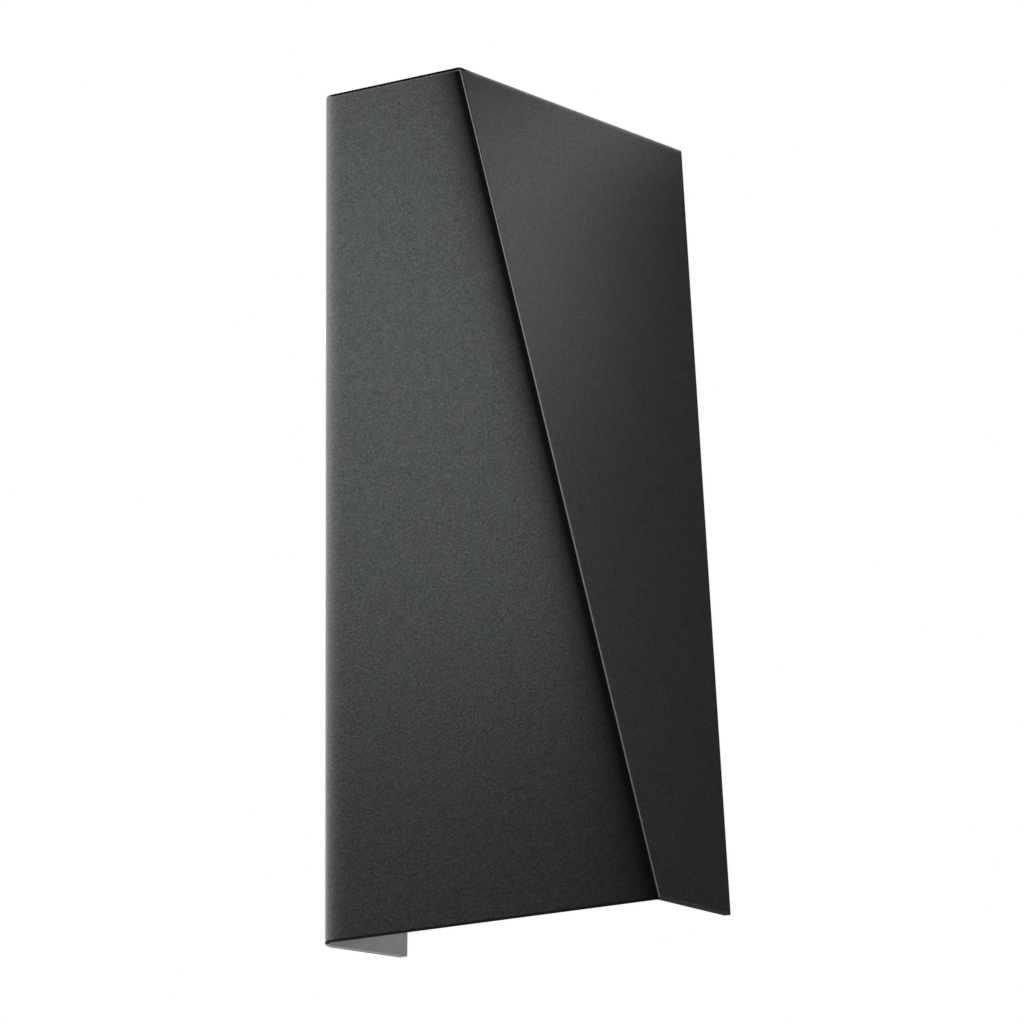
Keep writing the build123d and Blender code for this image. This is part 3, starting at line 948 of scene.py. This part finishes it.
@dataclass(frozen=True)
class ShadeCoat(Finish):
    """The shade's black coat, with painted shade beside the crease, towards its foot, along the top and
    bottom edges and in its pits, and painted highlights along the bends and edges.
    """

    coat: PowderCoat
    shade: FoldedShade
    soft: float = 0.15 * MM
    # Painted shade: a darker copy of the coat with almost no gloss, mixed in where shade is painted
    dull_share: float = 0.4
    dull_roughness: float = 0.9
    dull_gloss: float = 0.05
    # Painted shade beside the crease on the front panel, with more of it towards the foot
    fold_start: float = 1.4 * MM
    fold_reach: float = 4.0 * MM
    foot_dulling: float = 0.56
    foot_reach: float = 40 * MM
    foot_height: float = 90 * MM
    # Painted highlight along the crease, paler at the top than at the foot
    crest: float = 0.135 * MM
    crest_high: RGB = display(148, 150, 150)
    crest_low: RGB = display(98, 100, 100)
    rub_offset: float = 0.075 * MM
    rub_skew: float = 0.0012
    # Painted highlight along the left bend
    rim_reach: float = 1.12 * MM
    rim_back: Pair = (0.7 * MM, 1.6 * MM)
    rim_colour: RGB = display(226, 229, 229)
    # Painted shade along the front's top edge, with painted highlights under it, at the top of the
    # crease and along the wing's foot
    hem: float = 0.85 * MM
    hem_start: Pair = (1.2 * MM, 2.4 * MM)
    hem_end: Pair = (-2.0 * MM, -0.5 * MM)
    bead: float = 0.45 * MM
    bead_share: float = 0.08
    bead_reach: float = 2.5 * MM
    corner_share: float = 0.4
    foot_share: float = 0.05
    # Painted highlight along the wing's top edge
    wing_start: Pair = (-3.0 * MM, -1.0 * MM)
    wing_edge: float = 0.4 * MM
    # Painted shade on the bottom cut edges
    cut: float = 0.12 * MM
    cut_dulling: Pair = (0.5, 0.85)
    # Painted shade in the pits of the coat's grain
    pit: float = 0.42 * MM
    pit_detail: float = 1.5
    pit_stretch: Sequence[float] = (1.45, 0.85, 0.85)
    pit_lay: float = 52.0
    pit_edge: Pair = (0.35, 0.65)
    pit_share: Pair = (0.27, 0.37)

    def place(self, tree: FinishTree) -> SheetPlace:
        """Measures where a point lies.

        Args:
            tree: The material's tree.

        Returns:
            How far it is left of the crease, from the left side, the top and the foot, and behind
            the front panel.
        """
        across, depth, height = tree.axes()
        foot, lean = self.shade.crease_line()
        crease = height * (lean - self.rub_skew) + (foot + self.rub_offset)
        return SheetPlace(
            beside=crease - across,
            from_left=across - self.shade.low.x,
            from_top=self.shade.high.z - height,
            from_foot=height - self.shade.low.z,
            behind=depth + height * self.shade.lean + self.shade.depth(0.0),
        )

    def pale_lines(self, tree: FinishTree, colour: Signal, at: SheetPlace) -> tuple[Signal, Signal]:
        """Paints highlights along the left bend, the crease, the top edges and the wing's foot.

        Args:
            tree: The material's tree.
            colour: The coat's own colour.
            at: Where the point lies.

        Returns:
            The colour with its painted highlights, and the mask of those that stay free of painted
            shade.
        """
        front = tree.step(at.beside, -self.soft, self.soft)
        # Painted highlight along the left bend
        rim = tree.fade(at.from_left, self.rim_reach) * tree.step(at.behind, *self.rim_back, 1.0, 0.0)
        below_top_shade = tree.step(at.from_top, self.hem - self.soft, self.hem)
        # Painted highlight along the crease, paler at the top than at the foot
        crest = tree.step(abs(at.beside), self.crest * 0.5, self.crest * 1.5, 1.0, 0.0) * below_top_shade
        crest_highlight_colour = tree.blend(
            tree.step(at.from_top, 0.0, self.shade.height), self.crest_high, self.crest_low
        )
        # Painted highlights under the painted shade at the top, along the wing's foot, along the wing's
        # top edge and near the top of the crease
        top_highlight = tree.band(at.from_top, self.hem, self.hem + self.bead, self.soft) * front
        foot_highlight = tree.band(at.from_foot, self.cut, self.cut + self.bead, self.soft) * (1 - front)
        on_wing = tree.step(at.beside, *self.wing_start, 1.0, 0.0)
        wing_top = tree.fade(at.from_top, self.wing_edge) * on_wing
        corner = top_highlight * tree.fade(abs(at.beside), self.bead_reach) * self.corner_share
        lines = top_highlight * self.bead_share + corner + foot_highlight * self.foot_share
        for mask in (rim, lines, wing_top):
            colour = tree.blend(mask, colour, self.rim_colour)
        return tree.blend(crest, colour, crest_highlight_colour), corner + crest + rim

    def shadow(self, tree: FinishTree, at: SheetPlace, painted_highlights: Signal) -> Signal:
        """Finds where shade is painted: beside the crease, towards the foot, along the top edge, on cut
        edges and in its pits.

        Args:
            tree: The material's tree.
            at: Where the point lies.
            painted_highlights: Mask of the painted highlights, which stay free of painted shade.

        Returns:
            The share of the painted shade.
        """
        sides = (-self.soft, self.soft)
        front = tree.step(at.beside, self.crest, self.crest * 2)
        # Painted shade beside the crease on the front panel, with more of it towards the foot
        fold_shade = tree.fade(at.beside - self.fold_start, self.fold_reach).at_most(1.0)
        near_foot = tree.step(at.from_foot, 0.0, self.foot_height, self.foot_dulling, 0.0)
        foot = near_foot * tree.fade(abs(at.beside), self.foot_reach)
        on_front = (1 - (1 - fold_shade * (1 - painted_highlights)) * (1 - foot)) * front
        # Painted shade along the front's top edge
        hem = tree.step(at.from_top, self.hem - self.soft, self.hem, 1.0, 0.0)
        hem = hem * tree.step(at.from_left, *self.hem_start) * tree.step(at.beside, *self.hem_end)
        # Painted shade on the bottom cut edges
        cut = tree.step(at.from_foot, self.cut, self.cut + self.soft, 1.0, 0.0)
        cut = cut * tree.step(at.beside, *sides, *self.cut_dulling)
        # Painted shade in the pits of the coat's grain
        grain = tree.noise(self.pit, self.pit_detail, self.pit_stretch, self.pit_lay)
        pit_shade = tree.step(grain, *self.pit_edge) * tree.step(at.beside, *sides, *self.pit_share)
        return 1 - (1 - on_front) * (1 - hem) * (1 - cut) * (1 - pit_shade * (1 - painted_highlights))

    def shader(self, tree: FinishTree) -> Signal:
        """Mixes the coat with painted shade, a darker coat with almost no gloss, beside the fold, along
        the top and cut edges and in the pits.

        Args:
            tree: The material's tree.

        Returns:
            The mixed shader.
        """
        at = self.place(tree)
        parts = self.coat.sockets(tree)
        parts["Base Color"], painted_highlights = self.pale_lines(tree, parts["Base Color"], at)
        # Painted shade: a darker copy of the coat with almost no gloss
        painted_shade = tree.surface({
            "Base Color": tuple(c * self.dull_share for c in self.coat.colour),
            "Roughness": self.dull_roughness,
            "Specular IOR Level": self.dull_gloss,
            "Normal": parts["Normal"],
        })
        mixed = {0: self.shadow(tree, at, painted_highlights), 1: tree.surface(parts), 2: painted_shade}
        return tree.node("ShaderNodeMixShader", sockets=mixed)


@dataclass(frozen=True)
class CheekEdge(Finish):
    """The pale cut edge of the cheek, with a dark line where the outer coat wraps its arris."""

    coat: PowderCoat
    shade: FoldedShade
    line: float = 0.4 * MM
    line_colour: RGB = display(48, 50, 50)
    soft: float = 0.15 * MM

    def sockets(self, tree: FinishTree) -> Values:
        """The edge's coat, dark along the outer face at the foot.

        Args:
            tree: The material's tree.

        Returns:
            Values for FinishTree.surface.
        """
        across, depth, height = tree.axes()
        foot, bend = self.shade.corners(self.shade.low.z, 0.0)[:2]
        way = (bend - foot).normalized()
        inwards = (across - foot.x) * -way.y + (depth - foot.y) * way.x
        arris = tree.step(inwards, self.line - self.soft, self.line, 1.0, 0.0)
        at_foot = tree.step(height, -self.soft, self.soft, 1.0, 0.0)
        parts = self.coat.sockets(tree)
        parts["Base Color"] = tree.blend(arris * at_foot, parts["Base Color"], self.line_colour)
        return parts


def shade_coats(shade: FoldedShade) -> dict[Skin, Material]:
    """Makes the coats of the shade.

    Args:
        shade: The shade that they cover.

    Returns:
        The coat of each skin.
    """
    black = PowderCoat(
        display(26, 28, 29), roughness=0.42, grain=0.5 * MM, cloud=2.0 * MM, relief=0.07 * MM,
        gloss=0.61, gloss_tint=(0.93, 0.98, 1.0),
    )
    inside = PowderCoat(display(183, 186, 185), shades=(0.92, 1.08))
    pale_edge = PowderCoat(display(188, 190, 188), shades=(0.92, 1.08))
    return {
        Skin.OUTSIDE: ShadeCoat(black, shade).build("shade_outside"),
        Skin.INSIDE: inside.build("shade_inside"),
        Skin.FOOT_EDGE: CheekEdge(pale_edge, shade).build("shade_foot_edge"),
    }


@dataclass(frozen=True)
class SocketScrew:
    """A small screw with a hexagon socket, either pan headed or countersunk."""

    head: float
    head_height: float
    shank: float
    reach: float
    sunk: bool = False
    key: float = 1.5 * MM
    key_depth: float = 0.7
    key_mouth: float = 0.72
    edge_share: float = 0.06
    point_share: float = 0.8

    def piece(self, facing: Vector) -> Object:
        """Makes one screw whose seat is at the origin.

        Args:
            facing: The way that its head faces.

        Returns:
            The screw, to be repeated.
        """
        radius, core = self.head / 2, self.shank / 2
        edge = self.head * self.edge_share
        top = 0.0 if self.sunk else self.head_height
        rings = [(core * self.point_share, -self.reach), (core, edge - self.reach)]
        if self.sunk:
            rings += [(core, core - radius), (radius, -edge)]
        else:
            rings += [(core, 0.0), (radius, 0.0), (radius, top - 2 * edge)]
            rings += [(radius - 0.6 * edge, top - 0.6 * edge)]
        rings += [(radius - 1.6 * edge, top), (self.key * self.key_mouth, top)]
        loops = [round_loop(*ring) for ring in rings]
        for depth in (0.5 * edge, self.key_depth * self.head_height):
            loops.append(key_loop(self.key, top - depth))
        return place_mesh(skin_loops(loops), "screw", face_to(facing))

    def lay(
        self, node: str, facing: Vector, rows: RowTree, finish: Material, values: Values
    ) -> None:
        """Lays such screws in rows, in place of the node's own."""
        made = rows.run(node + "_turned", self.piece(facing), finish, values)
        add_piece(made, Body.BASE, "screw_steel", node)


@dataclass
class LightEngine:
    """The housing with its driver, and in each end a board, a lens, a bezel and a thumb screw."""

    finish: Materials
    rows: RowTree
    ring: RingTree
    led_length: float = 3.5 * MM
    led_gap: float = 2.5 * MM
    led_rim: float = 0.45 * MM
    led_cut: float = 0.135 * MM
    led_recess: float = 0.2 * MM
    screw_shank: float = 2.5 * MM
    sunk_head: float = 4.6 * MM
    sunk_depth: float = 1.6 * MM
    thumb_shank: float = 4.0 * MM
    thumb_head_height: float = 7.0 * MM
    thumb_edge: float = 0.6 * MM
    rib_count: int = 16
    rib_width: float = 1.15 * MM
    rib_depth: float = 0.55 * MM

    def dress_nodes(self) -> None:
        """Gives the CAD nodes that stay their finishes."""
        dress("light_engine_housing", self.finish["blasted_housing"])
        dress("driver_module", self.finish["driver_moulding"])
        for end in End:
            for piece, finish in (
                ("thermal_pad", "heat_pad"), ("led_board", "solder_mask"), ("led_leads", "red_sleeve"),
                ("lens_gasket", "black_rubber"), ("lens", "lens_acrylic"), ("lens_bezel", "bezel_coat"),
            ):
                dress(f"{end.word}_{piece}", self.finish[finish])

    def diodes(self, end: End) -> None:
        """Makes one end's row of diodes: white bodies with a phosphor fill.

        Args:
            end: The end that they shine from.
        """
        node = f"{end.word}_led_chips"
        low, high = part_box(node)
        half_x, half_y, tall = self.led_length / 2, (high.y - low.y) / 2, high.z - low.z
        rim, cut, floor = self.led_rim, self.led_cut, tall - self.led_recess
        pitch = self.led_length + self.led_gap
        count = round((high.x - low.x + self.led_gap) / pitch)
        start = Vector((low.x + half_x, (low.y + high.y) / 2, end.span(low, high)[0]))
        body = (
            (0.0, cut, 0.0), (0.0, cut, tall - cut), (cut, cut, tall), (rim, rim, tall),
            (rim + cut, rim, floor),
        )
        fill = (
            (rim + cut, rim, floor - cut), (rim + cut, rim, floor + cut * 0.4),
            (rim * 2, rim * 0.8, floor + cut * 0.8),
        )
        for part, rings, finish in (("bodies", body, "led_body"), ("fills", fill, "led_phosphor")):
            loops = [box_loop(half_x - inset, half_y - inset, *more) for inset, *more in rings]
            diode = place_mesh(skin_loops(loops), part, end.turn)
            made = self.rows.run(f"{end.word}_led_{part}", diode, self.finish[finish], {
                "Start": start, "Step A": Vector((pitch, 0, 0)), "Count A": count,
            })
            add_piece(made, Body.BASE, "led_phosphor", *((node,) if rings is body else ()))

    def bezel_screws(self, end: End) -> None:
        """Makes the two screws that hold one end's bezel.

        Args:
            end: The end that they are in.
        """
        node = f"{end.word}_bezel_screws"
        low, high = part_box(node)
        head = high.y - low.y
        tip, top = end.span(low, high)
        seat = end.span(*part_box(f"{end.word}_lens_bezel"))[1]
        screw = SocketScrew(head, abs(top - seat), self.screw_shank, abs(seat - tip))
        screw.lay(node, Vector((0, 0, end.value)), self.rows, self.finish["zinc_screw"], {
            "Start": Vector((low.x + head / 2, (low.y + high.y) / 2, seat)),
            "Step A": Vector((high.x - low.x - head, 0, 0)),
        })

    def housing_screws(self) -> None:
        """Makes the four countersunk screws in the back of the bracket."""
        node, head = "housing_screws", self.sunk_head
        low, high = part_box(node)
        screw = SocketScrew(head, self.sunk_depth, self.screw_shank, high.y - low.y, sunk=True)
        screw.lay(node, Vector((0, 1, 0)), self.rows, self.finish["zinc_screw"], {
            "Start": Vector((low.x + head / 2, high.y, low.z + head / 2)),
            "Step A": Vector((high.x - low.x - head, 0, 0)),
            "Step B": Vector((0, 0, high.z - low.z - head)),
            "Count B": 2,
        })

    def thumb_screw(self, end: End) -> None:
        """Makes one thumb screw: a turned core with ribs round its head.

        Args:
            end: The end that it is in.
        """
        node = f"{end.word}_thumb_screw"
        low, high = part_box(node)
        tip, top = end.span(low, high)
        foot = Vector(((low.x + high.x) / 2, (low.y + high.y) / 2, tip))
        shank, edge = self.thumb_shank / 2, self.thumb_edge
        core, reach = (high.x - low.x) / 2 - self.rib_depth, abs(top - tip)
        seat = reach - self.thumb_head_height
        body = turn_body((
            (shank * 0.8, 0.0), (shank, edge), (shank, seat),
            (core - edge, seat), (core, seat + edge), (core, reach - edge), (core - edge, reach),
            (core * 0.45, reach), (core * 0.4, reach - edge * 0.6),
        ))
        turned = place_mesh(body, node + "_core", Matrix.Translation(foot) @ end.turn)
        turned.data.materials.append(self.finish["nickel_screw"])
        half, deep = self.rib_width / 2, self.rib_depth
        outline = (
            (-deep, -half), (deep * 0.6, -half), (deep, -half * 0.5),
            (deep, half * 0.5), (deep * 0.6, half), (-deep, half),
        )
        levels = (
            (seat + edge * 0.5, 0.7), (seat + edge * 1.1, 1.0),
            (reach - edge * 1.1, 1.0), (reach - edge * 0.5, 0.7),
        )
        rib = skin_loops([[Vector((x * share, y, z)) for x, y in outline] for z, share in levels])
        rib = place_mesh(rib, "rib", end.turn)
        ribs = self.ring.run(node + "_ribs", rib, self.finish["nickel_screw"], {
            "Centre": foot, "Radius": core, "Count": self.rib_count,
        })
        add_piece(turned, Body.BASE, "thumb_steel", node)
        add_piece(ribs, Body.BASE, "thumb_steel")

    def build(self) -> None:
        """Makes and dresses the whole light engine."""
        self.dress_nodes()
        self.housing_screws()
        for end in End:
            self.diodes(end)
            self.bezel_screws(end)
            self.thumb_screw(end)


@dataclass
class WallPlate:
    """The plate on the wall with its cable bush and earth screw, and the tabs of the shade."""

    finish: Materials
    rows: RowTree
    tab_thickness: float = 1.5 * MM
    weld_radius: float = 1.3 * MM
    weld_height: float = 0.12 * MM
    weld_spacing: float = 4.4 * MM
    weld_place: float = 0.42

    def welds(self, end: End, lean: float) -> None:
        """Makes the two spot welds on one tab's leg.

        Args:
            end: The end whose tab it is.
            lean: How far the front panel leans out for each metre up.
        """
        low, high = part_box(f"{end.word}_shade_tab")
        z = end.span(low, high)[1] - (high.z - low.z) * self.weld_place * end.value
        front = low.y + (high.z - z) * lean + self.tab_thickness * math.hypot(1, lean)
        radius, height = self.weld_radius, self.weld_height
        mark = turn_body((
            (radius, -height), (radius, height * 0.4), (radius * 0.86, height),
            (radius * 0.62, height), (radius * 0.5, height * 0.3),
        ), TURNS[::2])
        facing = Vector((0, 1, lean)).normalized()
        weld = place_mesh(mark, "weld", face_to(facing))
        made = self.rows.run(f"{end.word}_tab_welds", weld, self.finish["zinc_sheet"], {
            "Start": Vector(((low.x + high.x - self.weld_spacing) / 2, front, z)),
            "Step A": Vector((self.weld_spacing, 0, 0)),
        })
        add_piece(made, Body.SHADE, "zinc_steel")

    def build(self, lean: float) -> None:
        """Dresses the plate and the tabs, and adds the tabs' welds.

        Args:
            lean: How far the front panel leans out for each metre up.
        """
        for node, finish in (
            ("wall_bracket", "zinc_sheet"), ("cable_grommet", "black_rubber"),
            ("earth_lug", "tinned_lug"), ("earth_screw", "zinc_screw"),
        ):
            dress(node, self.finish[finish])
        for end in End:
            dress(f"{end.word}_shade_tab", self.finish["zinc_sheet"])
            self.welds(end, lean)


@dataclass
class TerminalGroup:
    """The terminal block with its buttons, screws and leads."""

    finish: Materials
    rows: RowTree
    foot_thickness: float = 2.0 * MM
    plate_thickness: float = 1.5 * MM
    screw_shank: float = 2.5 * MM

    def screws(self) -> None:
        """Makes the two screws in the feet of the block."""
        node = "terminal_screws"
        low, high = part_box(node)
        head = high.x - low.x
        seat = -(self.foot_thickness + self.plate_thickness)
        screw = SocketScrew(head, seat - low.y, self.screw_shank, -seat)
        screw.lay(node, Vector((0, -1, 0)), self.rows, self.finish["zinc_screw"], {
            "Start": Vector(((low.x + high.x) / 2, seat, low.z + head / 2)),
            "Step A": Vector((0, 0, high.z - low.z - head)),
        })

    def build(self) -> None:
        """Makes and dresses the whole group."""
        for node, finish in (
            ("terminal_block", "terminal_moulding"), ("live_release_button", "orange_button"),
            ("neutral_release_button", "orange_button"), ("earth_release_button", "green_button"),
            ("live_lead", "brown_sleeve"), ("neutral_lead", "blue_sleeve"),
            ("earth_lead", "earth_sleeve"), ("lead_grommets", "black_rubber"),
        ):
            dress(node, self.finish[finish])
        self.screws()


def heading(azimuth: float, elevation: float) -> Vector:
    """The way out from the object; azimuth 0 is the room before the wall, and 90 is the right."""
    turn, lift = math.radians(azimuth), math.radians(elevation)
    return Vector((math.sin(turn), -math.cos(turn), math.tan(lift))) * math.cos(lift)


@dataclass(frozen=True)
class Softbox:
    """A soft studio lamp aimed at the object, with a grid where its spread is narrow."""

    name: str
    azimuth: float
    elevation: float
    distance: float
    width: float
    height: float
    brightness: float
    aim: Sequence[float] = (0.0, 0.0, 0.0)
    spread: float = 180.0

    def build(self) -> None:
        """Hangs the lamp."""
        lamp = bpy.data.lights.new(self.name, "AREA")
        lamp.shape = "RECTANGLE"
        lamp.size = self.width
        lamp.size_y = self.height
        lamp.energy = self.brightness * math.pi * self.width * self.height
        lamp.spread = math.radians(self.spread)
        hung = bpy.data.objects.new(self.name, lamp)
        hung.location = heading(self.azimuth, self.elevation) * self.distance
        hung.rotation_mode = "QUATERNION"
        hung.rotation_quaternion = (Vector(self.aim) * MM - hung.location).to_track_quat("-Z", "Y")
        hung.visible_camera = False
        bpy.context.scene.collection.objects.link(hung)


@dataclass
class Studio:
    """The camera, the lamps, the white surroundings and the pale floor."""

    eye: Vector = field(default_factory=lambda: Vector((121.006, -447.448, -353.362)) * MM)
    camera_turn: float = 15.780
    camera_lift: float = 37.361
    lens: float = 80.183
    sensor: float = 36.0
    room_grey: float = 0.17
    behind: Pair = (0.1, 0.6)
    floor_level: float = -0.7
    floor_side: float = 8.0
    floor_white: float = 0.7
    paper: Pair = (0.80, 0.84)
    paper_fibre: float = 10 * MM
    paper_roughness: float = 0.9
    lamps: tuple[Softbox, ...] = (
        Softbox("key", -16, 28, 0.7, 0.25, 0.30, 4.05),
        Softbox("side", -40, 25, 0.9, 0.4, 0.4, 3.3),
        Softbox("wing_top", 72, 64, 0.218, 0.04, 0.02, 0.38, (32, -12, 130), 60),
        Softbox("wing_high", 50, 50, 0.22, 0.06, 0.10, 0.38, (-8, -40, 66), 70),
        Softbox("wing_low", 45, 10, 0.22, 0.05, 0.20, 0.74, (0, -35, -20), 70),
        Softbox("left_back", -97, 5, 1.0, 0.5, 1.0, 1.4),
        Softbox("right_back", 145, 30, 1.2, 0.8, 0.8, 1.2),
    )

    def place_camera(self) -> None:
        """Puts the camera where the photo was taken from."""
        data = bpy.data.cameras.new("camera")
        data.sensor_width = self.sensor
        data.lens = self.lens
        ahead = -heading(self.camera_turn, -self.camera_lift)
        camera = bpy.data.objects.new("camera", data)
        camera.location = self.eye
        camera.rotation_mode = "QUATERNION"
        camera.rotation_quaternion = ahead.to_track_quat("-Z", "Y")
        bpy.context.scene.collection.objects.link(camera)
        bpy.context.scene.camera = camera

    def make_world(self) -> None:
        """Makes the surroundings: white to the camera, through glass and behind the object.

        Elsewhere they are a grey room.
        """
        world = bpy.data.worlds.new("studio")
        world.use_nodes = True
        bpy.context.scene.world = world
        tree = NodeTree(world.node_tree)
        way = tree.node("ShaderNodeTexCoord", output="Generated")
        split = tree.node("ShaderNodeSeparateXYZ", sockets={0: way})
        behind = tree.step(split.other("Y"), *self.behind)
        ray = tree.node("ShaderNodeLightPath", output="Is Camera Ray")
        gloss = ray.other("Is Glossy Ray") * behind
        seen = ray + ray.other("Is Transmission Ray") + gloss + behind
        grey, white = (
            tree.node("ShaderNodeBackground", sockets={"Color": (level,) * 3 + (1.0,), "Strength": 1.0})
            for level in (self.room_grey, 1.0)
        )
        shown = tree.node("ShaderNodeMixShader", sockets={0: seen, 1: grey, 2: white})
        tree.node("ShaderNodeOutputWorld", sockets={"Surface": shown})

    def make_floor(self) -> None:
        """Lays the pale floor below the camera."""
        tree = FinishTree("floor_paper")
        shades = [(level,) * 3 for level in self.paper]
        fibres = tree.noise(self.paper_fibre, detail=3.0)
        paper = tree.surface({
            "Base Color": tree.blend(fibres, *shades), "Roughness": self.paper_roughness,
        })
        ray = tree.node("ShaderNodeLightPath", output="Is Camera Ray")
        seen = ray + ray.other("Is Glossy Ray") + ray.other("Is Transmission Ray")
        white = tree.node("ShaderNodeEmission", sockets={"Color": (1.0,) * 4, "Strength": 1.0})
        mixed = {0: seen * self.floor_white, 1: paper, 2: white}
        shown = tree.finished(tree.node("ShaderNodeMixShader", sockets=mixed))
        mesh = bmesh.new()
        bmesh.ops.create_grid(mesh, x_segments=1, y_segments=1, size=self.floor_side / 2)
        floor = place_mesh(mesh, "floor", Matrix.Translation((0, 0, self.floor_level)))
        floor.data.materials.append(shown)

    def build(self) -> None:
        """Sets up the whole studio."""
        self.place_camera()
        self.make_world()
        self.make_floor()
        for lamp in self.lamps:
            lamp.build()
        bpy.context.scene.view_settings.view_transform = "Standard"


def main() -> None:
    """Builds the pieces in order and dresses what stays of the CAD model."""
    logging.basicConfig(level=logging.INFO, format="%(name)s: %(message)s")
    Studio().build()
    shade = FoldedShade()
    shade.build(shade_coats(shade))
    finish = make_finishes()
    rows = RowTree()
    LightEngine(finish, rows, RingTree()).build()
    WallPlate(finish, rows).build(shade.lean)
    TerminalGroup(finish, rows).build()


if __name__ == "__main__":
    main()
